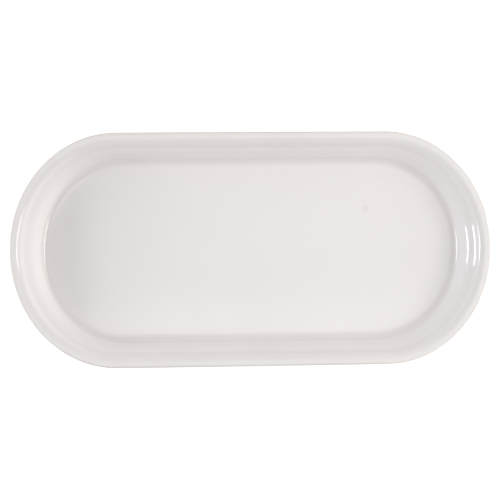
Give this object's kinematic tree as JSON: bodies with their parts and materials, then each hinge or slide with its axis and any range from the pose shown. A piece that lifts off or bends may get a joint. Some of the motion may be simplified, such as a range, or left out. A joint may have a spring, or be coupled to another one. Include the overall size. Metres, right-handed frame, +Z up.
{
  "type": "asparagus plate",
  "caption": "Oblong white glazed ceramic plate with rounded ends, a stepped ring border round a flat well and a bare foot ring, for serving asparagus or bread.",
  "frame": {"origin": "centre of the foot ring's resting face, on the table", "axes": "+X along the plate's length, +Y across it, +Z up out of the well"},
  "size_m": [0.305, 0.148, 0.022],
  "materials": {
    "fired_clay": "bare, fine grained and matt",
    "white_glaze": "glossy white, thin and warmer on edges"
  },
  "bodies": {
    "root": {"clay_body": "fired_clay", "face_glaze": "white_glaze", "base_glaze": "white_glaze"}
  },
  "joints": []
}
